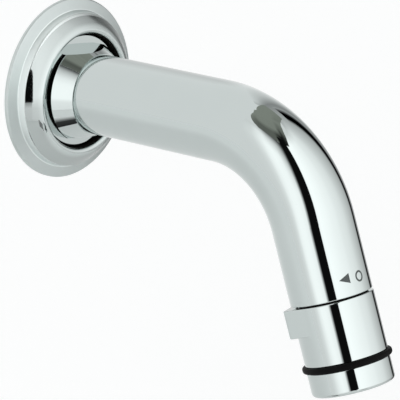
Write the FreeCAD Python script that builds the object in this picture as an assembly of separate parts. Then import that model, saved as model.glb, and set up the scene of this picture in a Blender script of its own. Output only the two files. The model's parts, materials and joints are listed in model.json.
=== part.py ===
import FreeCAD, Part
import math
import os

# Wall-mounted basin tap with its shut-off valve in the mouth of the spout.
# Millimetres and degrees. The wall's face is the plane y = 0, the supply lies on its +Y side,
# +Z is up, and the origin is on the axis of the supply thread.

# Spout tube
tube_d = 28.0
tube_wall = 1.5
tube_back = 15.3         # wall face to the rear end of the tube
arm_end = 70.7           # wall face to the start of the bend
bend_r = 41.0            # centreline
bend_angle = 71.5
mouth_run = 25.35        # straight run below the bend
edge_round = 0.3         # rounding of the polished end edges

# Supply connection: G 1/2 thread, shoulder, conical head with two wrench flats, and socket
thread_d = 20.955
thread_root_d = 18.2     # relief behind the thread
thread_length = 13.0
thread_chamfer = 1.0
inlet_bore_d = 15.0
head_d = 36.0
head_length = 9.0        # shoulder to the rear end of the tube
head_face_step = 0.2     # the head's front circle is this much larger than the tube all round
head_cone = 30.0         # slope of the cone, from the axis
head_round = 0.8
wrench_af = 30.0         # across the two flats, above and below
supply_seal_t = 2.2      # section of the ring behind the thread
web_t = 2.2              # metal between the shoulder and the socket's floor
strainer_t = 0.8
strainer_hole_d = 1.6
strainer_pitch = 2.3
ring_section = 1.8       # section of the small sealing rings

# Tail of the spout
tail_inset = 8.0         # length brazed into the tube
tail_bore_d = 14.0
tail_step = 2.5          # step from the tube's bore down to the spigot
tail_land = 2.5          # land in front of the screw's groove
screw_d = 4.0
screw_key = 2.0
screw_key_depth = 1.6
screw_bite = 1.2         # depth of the V groove
screw_sunk = 0.5         # head below the flat

# Wall rosette
rosette_d = 64.0
rosette_wall = 1.5
rosette_rim = 1.2        # height of the rim's edge
rosette_flange_d = 55.6  # where the flange meets the riser
rosette_flange_z = 2.4
rosette_riser_d = 54.4
rosette_riser_z = 4.9
rosette_riser_round = 0.9
rosette_flank_d = 47.2   # where the flank turns into the crown
rosette_flank_z = 8.2
rosette_flank_round = 6.0
rosette_crest = 9.95     # height of the lip above the wall
rosette_lip_round = 1.3
rosette_clear = 0.8      # between the nipple's shoulder and the sleeve
rosette_sleeve = 1.2     # wall of the inner sleeve
rosette_sleeve_z = 3.0   # where the sleeve starts
rosette_ring_depth = 2.2
shoulder_d = 39.2

# Valve in the spout's mouth
socket_wall = 1.4
socket_floor = 2.0
socket_port_d = 13.0
housing_wall = 1.6
housing_flange_t = 2.0
housing_lip = 3.2        # depth of the inner shoulder above the tube's end
housing_ring_z = 2.7     # tube's end back to the middle of the housing's ring
nose_length = 8.0
nose_wall = 3.1
disc_t = 3.5
disc_port_in = 2.2       # inner radius of the two water ports
disc_port_rim = 2.1      # ceramic left outside the ports
disc_port_angle = 80.0
disc_ear_w = 3.0
disc_ear_h = 0.7
disc_seal_t = 2.2
disc_seal_w = 2.2
disc_seal_round = 0.55
slide_t = 0.8
driver_flange_t = 2.8
driver_lug_h = 1.2
driver_lug_w = 3.0
slide_w = 2.6            # land that the slide ring bears on
hub_wall = 2.6
drive_step = 1.0         # hub down to the flats of the drive
stem_step = 0.4          # flats of the drive down to the thread
nut_wall = 2.1           # thread to the flats of the nut
nut_t = 2.6
thrust_t = 0.5
valve_turn = 90.0        # from shut to open
stop_lug_angle = 14.0
stop_lug_w = 1.1

# Turning collar with its finger tab
seam = 0.6               # gap between the tube and the collar
collar_step = 0.15       # the collar stands this proud of the tube
collar_length = 20.2
collar_rim = 1.8
collar_web = 3.0
collar_wall = 2.1        # wall round the aerator's thread
collar_ledge = 1.25
chamber = 3.4            # room for the nut under the web
tab_angle = 126.0        # middle of the tab, from the front of the spout to the left
tab_spread = 36.0        # each flank leaves the collar this far from the middle
tab_h = 9.6
tab_round = 1.5
tab_sink = 0.03          # the flanks start this far under the collar's surface

# Aerator
grip_h = 2.2
grip_out = 1.2
grip_round = 0.9
shell_step = 0.2         # the shell stands this proud of the tube
shell_length = 8.35
shell_round = 1.3
shell_neck_wall = 1.4
shell_lip = 1.0
shell_lip_t = 1.5
washer_t = 1.5
washer_w = 2.4
insert_wall = 1.2
insert_length = 5.8
honeycomb_t = 2.6
honeycomb_cell = 2.4
honeycomb_rib = 0.5
jet_plate_t = 2.0
jet_hole_d = 1.3
inner_jets = 6
inner_jets_r = 3.6
outer_jets = 12
outer_jets_r = 7.0
sieve_rim_h = 1.6
sieve_wall = 0.5
sieve_rise = 0.8         # middle above the rim
sieve_flat_r = 5.4
sieve_round = 1.2

# Clearances
fit_gap = 0.05           # turned pieces that slip into each other
run_gap = 0.05           # turning pieces in their bearings
seal_gap = 0.03          # rings in their grooves
free_gap = 0.3           # pieces that pass each other
root_depth = 1.0         # lugs, ears and cutters start this far inside the body they meet
same_point = 1e-6        # points closer than this are one point

# Worked out from the sizes above
tube_r = tube_d / 2
bore_r = tube_r - tube_wall
shoulder_r = shoulder_d / 2
head_z = tube_back - head_length
shoulder_ring_z = (supply_seal_t + head_z) / 2
socket_floor_z = supply_seal_t + web_t
spigot_z = socket_floor_z + strainer_t
spigot_r = bore_r - tail_step
spigot_bore_r = spigot_r + fit_gap
screw_z = tube_back - tail_land - screw_bite
ring_groove = ring_section + 2 * seal_gap
ring_floor_r = spigot_bore_r - ring_groove
rosette_hole_r = shoulder_r + rosette_clear

socket_r = bore_r - fit_gap
housing_r = socket_r - socket_wall - fit_gap
disc_bore_r = housing_r - housing_wall
disc_r = disc_bore_r - 2 * run_gap
hub_r = disc_bore_r - slide_w
waterway_r = hub_r - hub_wall
drive_af = 2 * (hub_r - drive_step)
stem_r = drive_af / 2 - stem_step
funnel_r = disc_r - disc_port_rim
lip_bore_r = hub_r + run_gap
nose_r = lip_bore_r + nose_wall
flange_z = -housing_lip - slide_t - driver_flange_t
turning_z = flange_z - disc_t
fixed_z = turning_z - disc_t
seal_z = fixed_z - disc_seal_t
socket_z = seal_z - socket_floor

collar_r = tube_r + collar_step
shell_r = tube_r + shell_step
collar_recess_r = collar_r - collar_rim
housing_flange_r = collar_recess_r - free_gap
collar_end = seam + collar_length
web_z = nose_length + thrust_t + 2 * run_gap
nut_z = web_z + collar_web
ledge_z = nut_z + chamber
aerator_bore_r = collar_r - collar_wall
aerator_r = aerator_bore_r - fit_gap
chamber_r = aerator_bore_r - collar_ledge
shell_z = collar_end + grip_h
shell_end = shell_z + shell_length
neck_z = ledge_z + washer_t
insert_r = aerator_r - shell_neck_wall - fit_gap
insert_end = shell_end - shell_lip_t
insert_z = insert_end - insert_length
jet_z = insert_z - jet_plate_t

bend_rad = math.radians(bend_angle)
mouth_y = -arm_end - bend_r * math.sin(bend_rad) - mouth_run * math.cos(bend_rad)
mouth_z = -bend_r * (1 - math.cos(bend_rad)) - mouth_run * math.sin(bend_rad)

X_AXIS = FreeCAD.Vector(1, 0, 0)
Z_AXIS = FreeCAD.Vector(0, 0, 1)
ORIGIN = FreeCAD.Vector(0, 0, 0)


def at_inlet(shape):
    """Put a shape made along +Z on the inlet axis, so that its z is the depth out from the wall."""
    shape.Placement = FreeCAD.Placement(ORIGIN, FreeCAD.Rotation(X_AXIS, 90)) * shape.Placement
    return shape


def at_mouth(shape):
    """Put a shape made along +Z on the spout's axis, with z = 0 at the tube's end and +Y in front."""
    base = FreeCAD.Vector(0, mouth_y, mouth_z)
    shape.Placement = FreeCAD.Placement(base, FreeCAD.Rotation(X_AXIS, 90 + bend_angle)) * shape.Placement
    return shape


def rounded_wire(corners):
    """Closed wire through (radius, z) corners, each rounded by the third number where it has one."""
    points = [FreeCAD.Vector(corner[0], 0, corner[1]) for corner in corners]
    spans = []
    for index, point in enumerate(points):
        round_r = corners[index][2] if len(corners[index]) > 2 else 0
        if round_r == 0:
            spans.append((point, point, point))
            continue
        back = (points[index - 1] - point).normalize()
        ahead = (points[(index + 1) % len(points)] - point).normalize()
        half = back.getAngle(ahead) / 2
        centre = point + (back + ahead).normalize() * (round_r / math.sin(half))
        middle = centre + (point - centre).normalize() * round_r
        run = round_r / math.tan(half)
        spans.append((point + back * run, middle, point + ahead * run))
    edges = []
    for index, (start, middle, end) in enumerate(spans):
        if start.distanceToPoint(end) > same_point:
            edges.append(Part.Arc(start, middle, end).toShape())
        following = spans[(index + 1) % len(spans)][0]
        if end.distanceToPoint(following) > same_point:
            edges.append(Part.LineSegment(end, following).toShape())
    return Part.Wire(edges)


def turned(corners, angle=360, start=0):
    """Solid turned about Z from (radius, z) corners, whole or over an angle from a start angle."""
    solid = Part.Face(rounded_wire(corners)).revolve(ORIGIN, Z_AXIS, angle)
    solid.rotate(ORIGIN, Z_AXIS, start)
    return solid


def sleeve(inner, outer, low, high, round_r=0.0):
    """Plain ring between two radii and two heights, with its outer corners rounded."""
    return turned([(inner, low), (outer, low, round_r), (outer, high, round_r), (inner, high)])


def seal_ring(inner, outer, middle_z):
    """Round-section ring that lies a seal gap off the two radii it seals."""
    section_r = (outer - inner) / 2 - seal_gap
    return Part.makeTorus((outer + inner) / 2, section_r, FreeCAD.Vector(0, 0, middle_z), Z_AXIS)


def hexagon(across_flats, low, high):
    """Hexagonal prism about Z, with the normal of one flat along X."""
    corner = across_flats / math.sqrt(3)
    points = []
    for index in range(7):
        angle = math.radians(30 + 60 * index)
        points.append(FreeCAD.Vector(corner * math.cos(angle), corner * math.sin(angle), low))
    return Part.Face(Part.makePolygon(points)).extrude(FreeCAD.Vector(0, 0, high - low))


def hole_grid(pitch, reach, cell):
    """Cells on a triangular grid about Z, as far out as the reach allows."""
    row_step = pitch * math.sqrt(3) / 2
    rows = int(reach / row_step) + 1
    cells = []
    for row in range(-rows, rows + 1):
        shift = pitch / 2 * (row % 2)
        for column in range(-rows - 1, rows + 2):
            x, y = column * pitch + shift, row * row_step
            if math.hypot(x, y) < reach:
                copy = cell.copy()
                copy.translate(FreeCAD.Vector(x, y, 0))
                cells.append(copy)
    return cells


def block(angle, inner, outer, width, low, high):
    """Block that reaches out from the axis at an angle counted from the front (+Y) to the left."""
    shape = Part.makeBox(width, outer - inner, high - low, FreeCAD.Vector(-width / 2, inner, low))
    shape.rotate(ORIGIN, Z_AXIS, angle)
    return shape


def parallel(corners, distance):
    """Inner corners of a line that runs at an even distance inside a (radius, z, round) line."""
    points = [FreeCAD.Vector(corner[0], 0, corner[1]) for corner in corners]
    inner = []
    for index in range(1, len(points) - 1):
        point = points[index]
        back = (points[index - 1] - point).normalize()
        ahead = (points[index + 1] - point).normalize()
        side = 1 if back.cross(ahead).y > 0 else -1
        shift = (back + ahead).normalize() * (side * distance / math.sin(back.getAngle(ahead) / 2))
        round_r = max(corners[index][2] - side * distance, 0)
        inner.append((point.x + shift.x, point.z + shift.z, round_r))
    return inner


def make_wall_rosette():
    """Push-on wall rosette: flange, riser, flank and crown, with a rolled lip and inner sleeve."""
    outer_r, hole_r, wall = rosette_d / 2, rosette_hole_r, rosette_wall
    sleeve_r = hole_r + rosette_sleeve
    outside = [
        (outer_r, 0), (outer_r, rosette_rim, rosette_rim / 2),
        (rosette_flange_d / 2, rosette_flange_z, edge_round),
        (rosette_riser_d / 2, rosette_riser_z, rosette_riser_round),
        (rosette_flank_d / 2, rosette_flank_z, rosette_flank_round),
        (hole_r, rosette_crest, rosette_lip_round), (hole_r, rosette_sleeve_z)]
    inside = parallel(outside[1:-1], wall)
    crown_slope = (rosette_crest - rosette_flank_z) / (rosette_flank_d / 2 - hole_r)
    sleeve_top = inside[-1][1] + (inside[-1][0] - sleeve_r) * crown_slope
    return at_inlet(turned(outside + [(sleeve_r, rosette_sleeve_z), (sleeve_r, sleeve_top)] + inside[::-1]
                           + [(outer_r - wall, 0)]))


def make_inlet_nipple():
    """Brass nipple: supply thread, relief, shoulder with a ring groove, conical head and socket."""
    thread_r, relief_r = thread_d / 2, thread_root_d / 2
    head_r, face_r = head_d / 2, tube_r + head_face_step
    cone_z = tube_back - (head_r - face_r) / math.tan(math.radians(head_cone))
    ring_z = shoulder_ring_z
    ring_r = shoulder_r - rosette_ring_depth + rosette_clear
    half = rosette_ring_depth / 2 + seal_gap
    body = turned([
        (0, -thread_length), (thread_r - thread_chamfer, -thread_length),
        (thread_r, thread_chamfer - thread_length), (thread_r, 0), (relief_r, 0), (relief_r, supply_seal_t),
        (shoulder_r, supply_seal_t, edge_round), (shoulder_r, ring_z - half), (ring_r, ring_z - half),
        (ring_r, ring_z + half), (shoulder_r, ring_z + half), (shoulder_r, head_z, edge_round),
        (head_r, head_z), (head_r, cone_z, head_round), (face_r, tube_back), (0, tube_back)])
    for angle in (0, 180):
        body = body.cut(block(angle, wrench_af / 2, head_d, 2 * head_d, head_z, tube_back))
    inlet_depth = thread_length + socket_floor_z
    thread_end = FreeCAD.Vector(0, 0, -thread_length)
    body = body.cut(Part.makeCylinder(inlet_bore_d / 2, inlet_depth, thread_end))
    body = body.cut(Part.makeCylinder(spigot_bore_r, tube_back, FreeCAD.Vector(0, 0, socket_floor_z)))
    hole = Part.makeCylinder(screw_d / 2 + fit_gap, wrench_af)
    return at_inlet(body.cut(radial(hole)).removeSplitter())


def radial(shape):
    """Turn a shape made along +Z to point down through the lower flat, at the screw's depth."""
    shape.rotate(ORIGIN, X_AXIS, 90)
    shape.translate(FreeCAD.Vector(0, 0, screw_z))
    return shape


def make_rosette_ring():
    """Ring on the nipple's shoulder that grips the rosette's sleeve."""
    inner = rosette_hole_r - rosette_ring_depth
    return at_inlet(seal_ring(inner, rosette_hole_r, shoulder_ring_z))


def make_supply_ring():
    """Sealing ring in the relief behind the supply thread."""
    inner = thread_root_d / 2
    return at_inlet(seal_ring(inner, inner + supply_seal_t, supply_seal_t / 2))


def make_grub_screw():
    """Cone-point set screw in the lower wrench flat, with its point in the tail's groove."""
    tip_r = spigot_r - screw_bite + seal_gap
    head_r = wrench_af / 2 - screw_sunk
    shank_r = screw_d / 2
    screw = turned([(0, tip_r), (shank_r, tip_r + shank_r), (shank_r, head_r, edge_round), (0, head_r)])
    return at_inlet(radial(screw.cut(hexagon(screw_key, head_r - screw_key_depth, head_r))))


def make_inlet_strainer():
    """Perforated dirt strainer, clamped between the socket's floor and the tail."""
    disc_radius = spigot_bore_r - fit_gap
    disc = Part.makeCylinder(disc_radius, strainer_t, FreeCAD.Vector(0, 0, socket_floor_z))
    cell = Part.makeCylinder(strainer_hole_d / 2, strainer_t, FreeCAD.Vector(0, 0, socket_floor_z))
    reach = tail_bore_d / 2 - strainer_hole_d / 2
    return at_inlet(disc.cut(hole_grid(strainer_pitch, reach, cell)))


def spigot_grooves():
    """Middle heights of the tail's two ring grooves, evenly spaced behind the screw's groove."""
    land = (screw_z - screw_bite - spigot_z - 2 * ring_groove) / 3
    first = spigot_z + land + ring_groove / 2
    return first, first + land + ring_groove


def make_spout_tail():
    """Turned tail, brazed into the tube: grooved spigot behind, pilot inside the tube, bore through."""
    inner = tail_bore_d / 2
    half = ring_groove / 2
    corners = [(inner, spigot_z), (spigot_r, spigot_z, edge_round)]
    for middle in spigot_grooves():
        corners += [(spigot_r, middle - half), (ring_floor_r, middle - half)]
        corners += [(ring_floor_r, middle + half), (spigot_r, middle + half)]
    corners += [(spigot_r, screw_z - screw_bite), (spigot_r - screw_bite, screw_z)]
    corners += [(spigot_r, screw_z + screw_bite), (spigot_r, tube_back), (bore_r - fit_gap, tube_back)]
    pilot_end = tube_back + tail_inset
    corners += [(bore_r - fit_gap, pilot_end, edge_round), (bore_r - tube_wall, pilot_end)]
    corners += [(inner, pilot_end - (bore_r - tube_wall - inner))]
    return at_inlet(turned(corners))


def make_tail_ring(index):
    """One of the tail's two sealing rings."""
    return at_inlet(seal_ring(ring_floor_r, spigot_bore_r, spigot_grooves()[index]))


def make_spout_tube():
    """Bent tube of constant bore: horizontal arm, bend and the straight run to the mouth."""
    arm = at_inlet(turned([(bore_r, tube_back), (tube_r, tube_back, edge_round),
                           (tube_r, arm_end), (bore_r, arm_end)]))
    section = Part.Face([Part.Wire(Part.makeCircle(tube_r)), Part.Wire(Part.makeCircle(bore_r))])
    section.Placement = FreeCAD.Placement(FreeCAD.Vector(0, -arm_end, 0), FreeCAD.Rotation(X_AXIS, 90))
    bend = section.revolve(FreeCAD.Vector(0, -arm_end, -bend_r), X_AXIS, bend_angle)
    run = at_mouth(turned([(bore_r, -mouth_run), (tube_r, -mouth_run), (tube_r, 0, edge_round), (bore_r, 0)]))
    return arm.fuse([bend, run]).removeSplitter()


def make_valve_socket():
    """Threaded ring brazed into the tube's mouth, with the floor that the valve seals on."""
    port_r = socket_port_d / 2
    thread_r = housing_r + fit_gap
    return at_mouth(turned([(port_r, socket_z), (socket_r, socket_z, edge_round), (socket_r, 0),
                            (thread_r, 0), (thread_r, seal_z), (port_r, seal_z)]))


def stop_slot():
    """Gap in the housing's flange that the collar's stop lug moves along."""
    spare = stop_lug_angle / 2 + math.degrees(free_gap / housing_flange_r)
    inner = housing_flange_r - stop_lug_w - free_gap
    box = [(inner, 0), (collar_r, 0), (collar_r, housing_flange_t), (inner, housing_flange_t)]
    return turned(box, valve_turn + 2 * spare, 90 + tab_angle - spare)


def make_valve_housing():
    """Valve housing: threaded barrel round the discs, flange with the stop slot, and bearing nose."""
    top_z = seal_z + free_gap
    groove_in = -housing_ring_z - ring_section / 2
    groove_out = -housing_ring_z + ring_section / 2
    ring_r = housing_r + fit_gap - ring_section
    body = turned([
        (disc_bore_r, top_z), (housing_r, top_z, edge_round), (housing_r, groove_in), (ring_r, groove_in),
        (ring_r, groove_out), (housing_r, groove_out), (housing_r, 0), (housing_flange_r, 0),
        (housing_flange_r, housing_flange_t), (nose_r, housing_flange_t), (nose_r, nose_length, edge_round),
        (lip_bore_r, nose_length), (lip_bore_r, -housing_lip), (disc_bore_r, -housing_lip)])
    for angle in (0, 180):
        notch_r = disc_bore_r + disc_ear_h
        body = body.cut(block(angle, disc_bore_r - root_depth, notch_r, disc_ear_w, top_z, turning_z))
    return at_mouth(body.cut(stop_slot()))


def make_housing_ring():
    """Ring that seals the housing's thread to the outside."""
    return at_mouth(seal_ring(housing_r + fit_gap - ring_section, housing_r + fit_gap, -housing_ring_z))


def ported_disc(low, high, turn):
    """Ceramic disc with its two opposite water ports, centred on the angle turn from the front."""
    outer = disc_r - disc_port_rim
    disc = Part.makeCylinder(disc_r, high - low, FreeCAD.Vector(0, 0, low))
    corners = [(disc_port_in, low), (outer, low), (outer, high), (disc_port_in, high)]
    for side in (0, 180):
        disc = disc.cut(turned(corners, disc_port_angle, 90 + turn + side - disc_port_angle / 2))
    return disc


def make_fixed_disc():
    """Standing half of the valve: its ears keep it from turning in the housing."""
    disc = ported_disc(fixed_z, turning_z, 90)
    ear_r = disc_bore_r + disc_ear_h - run_gap
    ear_w = disc_ear_w - 2 * run_gap
    ears = [block(angle, disc_r - root_depth, ear_r, ear_w, fixed_z, turning_z) for angle in (0, 180)]
    return at_mouth(disc.fuse(ears).removeSplitter())


def make_turning_disc():
    """Turning half of the valve, shut at rest, with two notches for the driver's lugs."""
    disc = ported_disc(turning_z, flange_z, 0)
    for angle in (90, 270):
        notch_z = flange_z - driver_lug_h
        disc = disc.cut(block(angle, funnel_r, disc_r + root_depth, driver_lug_w, notch_z, flange_z))
    return at_mouth(disc)


def make_disc_seal():
    """Lipped rubber ring between the socket's floor and the fixed disc."""
    outer = disc_bore_r - fit_gap
    return at_mouth(sleeve(outer - disc_seal_w, outer, seal_z, fixed_z, disc_seal_round))


def driver_grooves():
    """Middle heights of the driver's two ring grooves, a quarter of the hub from each of its ends."""
    span = nose_length + housing_lip
    return span / 4 - housing_lip, 3 * span / 4 - housing_lip


def make_disc_driver():
    """Hollow driver: flange with two lugs, grooved hub, hexagonal drive and threaded end."""
    half = ring_section / 2
    floor_r = lip_bore_r - ring_section
    corners = [(funnel_r, flange_z), (disc_r, flange_z), (disc_r, flange_z + driver_flange_t),
               (hub_r, flange_z + driver_flange_t)]
    for middle in driver_grooves():
        corners += [(hub_r, middle - half), (floor_r, middle - half)]
        corners += [(floor_r, middle + half), (hub_r, middle + half)]
    corners += [(hub_r, nut_z), (stem_r, nut_z), (stem_r, nut_z + nut_t, edge_round)]
    corners += [(waterway_r, nut_z + nut_t), (waterway_r, flange_z + driver_flange_t)]
    driver = turned(corners)
    drive_z = web_z - run_gap
    sides = Part.makeCylinder(hub_r + root_depth, nut_z - drive_z, FreeCAD.Vector(0, 0, drive_z))
    driver = driver.cut(sides.cut(hexagon(drive_af, drive_z, nut_z)))
    lugs = []
    for angle in (90, 270):
        lugs.append(block(angle, funnel_r + run_gap, disc_r - free_gap, driver_lug_w - 2 * run_gap,
                          flange_z - driver_lug_h + run_gap, flange_z))
    return at_mouth(driver.fuse(lugs).removeSplitter())


def make_driver_ring(index):
    """One of the two rings that seal the turning driver in the housing."""
    return at_mouth(seal_ring(lip_bore_r - ring_section, lip_bore_r, driver_grooves()[index]))


def make_slide_ring():
    """Slippery ring that carries the driver's flange on the housing's inner shoulder."""
    return at_mouth(sleeve(hub_r + free_gap, disc_r, -housing_lip - slide_t, -housing_lip))


def make_thrust_washer():
    """Washer between the housing's nose and the collar's web."""
    return at_mouth(sleeve(hub_r + free_gap, nose_r - free_gap, nose_length, nose_length + thrust_t))


def make_collar_nut():
    """Thin nut that clamps the collar's web on the driver."""
    thread = Part.makeCylinder(stem_r + fit_gap, nut_z + nut_t)
    return at_mouth(hexagon(2 * (stem_r + nut_wall), nut_z, nut_z + nut_t).cut(thread))


def make_finger_tab():
    """Finger tab: two flanks that leave the collar along its surface and meet in a rounded nose."""
    flank_r = collar_r - tab_sink
    spread = math.radians(tab_spread)
    foot_x, foot_y = flank_r * math.cos(spread), flank_r * math.sin(spread)
    outline = rounded_wire([(foot_x, -foot_y), (flank_r / math.cos(spread), 0, tab_round), (foot_x, foot_y)])
    outline.rotate(ORIGIN, X_AXIS, 90)
    tab = Part.Face(outline).extrude(FreeCAD.Vector(0, 0, tab_h))
    rims = [edge for edge in tab.Edges if edge.BoundBox.ZLength < same_point]
    tab = tab.makeFillet(edge_round, [edge for edge in rims if edge.BoundBox.XMax > foot_x + same_point])
    tab = tab.cut(Part.makeCylinder(collar_r - collar_wall / 2, tab_h))
    tab.translate(FreeCAD.Vector(0, 0, seam))
    tab.rotate(ORIGIN, Z_AXIS, 90 + tab_angle)
    return tab


def make_control_collar():
    """Turning collar: recess and stop lug above, bearing bore, keyed web, and the aerator's thread."""
    body = turned([
        (collar_recess_r, seam), (collar_r, seam, edge_round), (collar_r, collar_end, edge_round),
        (aerator_bore_r, collar_end), (aerator_bore_r, ledge_z), (chamber_r, ledge_z), (chamber_r, nut_z),
        (drive_af / 2, nut_z), (drive_af / 2, web_z), (nose_r + run_gap, web_z),
        (nose_r + run_gap, housing_flange_t + free_gap), (collar_recess_r, housing_flange_t + free_gap)])
    lug_in = housing_flange_r - stop_lug_w
    lug_out = collar_recess_r + root_depth
    low, high = seam + free_gap, housing_flange_t + free_gap
    lug = turned([(lug_in, low), (lug_out, low), (lug_out, high), (lug_in, high)],
                 stop_lug_angle, 90 + tab_angle - stop_lug_angle / 2)
    body = body.fuse([lug, make_finger_tab()]).removeSplitter()
    return at_mouth(body.cut(hexagon(drive_af + 2 * fit_gap, web_z, nut_z)))


def make_grip_ring():
    """Black rubber ring that stands proud between the collar and the aerator."""
    return at_mouth(sleeve(aerator_r + fit_gap, collar_r + grip_out, collar_end, shell_z, grip_round))


def make_aerator_shell():
    """Aerator shell: threaded neck inside the collar, polished band and turned-in outlet lip."""
    inner = insert_r + fit_gap
    return at_mouth(turned([
        (inner, neck_z), (aerator_r, neck_z, edge_round), (aerator_r, shell_z),
        (shell_r, shell_z, edge_round),
        (shell_r, shell_end, shell_round), (inner - shell_lip, shell_end, edge_round),
        (inner - shell_lip, insert_end), (inner, insert_end)]))


def make_aerator_washer():
    """Flat rubber washer between the collar's ledge and the aerator's neck."""
    return at_mouth(sleeve(aerator_r - washer_w, aerator_r - fit_gap, ledge_z, neck_z))


def make_flow_straightener():
    """Plastic outlet insert with a honeycomb of straight water channels."""
    ring_in = insert_r - insert_wall
    grid_z = insert_end - honeycomb_t
    body = Part.makeCylinder(insert_r, insert_length, FreeCAD.Vector(0, 0, insert_z))
    body = body.cut(Part.makeCylinder(ring_in, insert_length - honeycomb_t, FreeCAD.Vector(0, 0, insert_z)))
    cell = hexagon(honeycomb_cell, grid_z, insert_end)
    reach = ring_in - honeycomb_cell / math.sqrt(3)
    return at_mouth(body.cut(hole_grid(honeycomb_cell + honeycomb_rib, reach, cell)))


def make_jet_plate():
    """Plate that splits the water into jets above the mixing chamber."""
    plate = Part.makeCylinder(insert_r, jet_plate_t, FreeCAD.Vector(0, 0, jet_z))
    holes = []
    for count, circle_r in ((inner_jets, inner_jets_r), (outer_jets, outer_jets_r)):
        for index in range(count):
            angle = 2 * math.pi * index / count
            spot = FreeCAD.Vector(circle_r * math.cos(angle), circle_r * math.sin(angle), jet_z)
            holes.append(Part.makeCylinder(jet_hole_d / 2, jet_plate_t, spot))
    return at_mouth(plate.cut(holes))


def make_inlet_sieve():
    """Domed sieve on top of the jet plate, as a closed sheet without its fine mesh."""
    rim_z = jet_z - sieve_rim_h
    rim_in = insert_r - insert_wall
    top_z = rim_z - sieve_rise
    return at_mouth(turned([
        (0, top_z), (sieve_flat_r, top_z, sieve_round), (rim_in, rim_z, edge_round), (insert_r, rim_z),
        (insert_r, jet_z), (rim_in, jet_z), (rim_in, rim_z + sieve_wall), (sieve_flat_r, top_z + sieve_wall),
        (0, top_z + sieve_wall)]))


pieces = {
    "wall_rosette": make_wall_rosette(),
    "rosette_ring": make_rosette_ring(),
    "inlet_nipple": make_inlet_nipple(),
    "supply_ring": make_supply_ring(),
    "inlet_strainer": make_inlet_strainer(),
    "grub_screw": make_grub_screw(),
    "spout_tail": make_spout_tail(),
    "tail_ring_rear": make_tail_ring(0),
    "tail_ring_front": make_tail_ring(1),
    "spout_tube": make_spout_tube(),
    "valve_socket": make_valve_socket(),
    "valve_housing": make_valve_housing(),
    "housing_ring": make_housing_ring(),
    "disc_seal": make_disc_seal(),
    "fixed_disc": make_fixed_disc(),
    "turning_disc": make_turning_disc(),
    "disc_driver": make_disc_driver(),
    "driver_ring_upper": make_driver_ring(0),
    "driver_ring_lower": make_driver_ring(1),
    "slide_ring": make_slide_ring(),
    "thrust_washer": make_thrust_washer(),
    "collar_nut": make_collar_nut(),
    "control_collar": make_control_collar(),
    "grip_ring": make_grip_ring(),
    "aerator_shell": make_aerator_shell(),
    "aerator_washer": make_aerator_washer(),
    "inlet_sieve": make_inlet_sieve(),
    "jet_plate": make_jet_plate(),
    "flow_straightener": make_flow_straightener(),
}

os.makedirs("parts", exist_ok=True)
for name, shape in pieces.items():
    solid = shape.Solids[0] if len(shape.Solids) == 1 else shape
    solid.exportStep(os.path.join("parts", name + ".step"))
    print(name, "solids", len(shape.Solids), "valid", shape.isValid(), "volume", round(shape.Volume, 1))
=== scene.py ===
"""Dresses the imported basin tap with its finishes, its thread, its marks and a small studio."""

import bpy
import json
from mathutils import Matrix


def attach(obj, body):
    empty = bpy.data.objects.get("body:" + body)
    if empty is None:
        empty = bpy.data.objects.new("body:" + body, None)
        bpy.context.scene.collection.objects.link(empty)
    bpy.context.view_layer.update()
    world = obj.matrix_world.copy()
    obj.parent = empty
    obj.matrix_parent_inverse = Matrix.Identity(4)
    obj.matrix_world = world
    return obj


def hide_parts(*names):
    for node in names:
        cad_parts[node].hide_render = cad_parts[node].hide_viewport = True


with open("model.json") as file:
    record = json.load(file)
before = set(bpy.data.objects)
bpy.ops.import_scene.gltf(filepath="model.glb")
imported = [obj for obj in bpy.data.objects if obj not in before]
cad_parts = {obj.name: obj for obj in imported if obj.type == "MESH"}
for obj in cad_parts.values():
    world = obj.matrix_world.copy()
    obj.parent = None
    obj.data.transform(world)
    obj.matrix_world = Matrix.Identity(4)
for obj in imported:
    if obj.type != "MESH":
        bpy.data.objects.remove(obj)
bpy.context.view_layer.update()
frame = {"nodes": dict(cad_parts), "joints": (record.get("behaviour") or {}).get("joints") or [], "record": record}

import json
import logging
import math
from dataclasses import dataclass, field
from enum import Enum

import bmesh
import bpy
from mathutils import Matrix, Vector

LOG = logging.getLogger("basin_tap")

TAP_BODY = "tap_body"
MM = 0.001

# The colour and value sockets of a Mix node, which share their names, by number.
MIX_COLOURS, MIX_COLOUR_RESULT = (6, 7), 2
MIX_LEVELS, MIX_LEVEL_RESULT = (2, 3), 0


class Slot(Enum):
    """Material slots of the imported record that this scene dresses."""

    CHROME = "chrome"
    CHROMED_BRASS = "chromed_brass"
    BRASS = "brass"
    DARK_BRASS = "dark_brass"
    STEEL = "steel"
    RUBBER = "rubber"
    GRIP_RUBBER = "grip_rubber"
    CERAMIC = "ceramic"
    BEARING_PLASTIC = "bearing_plastic"
    INSERT_PLASTIC = "insert_plastic"


SOCKET_KINDS = {float: "NodeSocketFloat", int: "NodeSocketInt", bpy.types.Material: "NodeSocketMaterial"}
WHITE = (1.0, 1.0, 1.0, 1.0)


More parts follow.
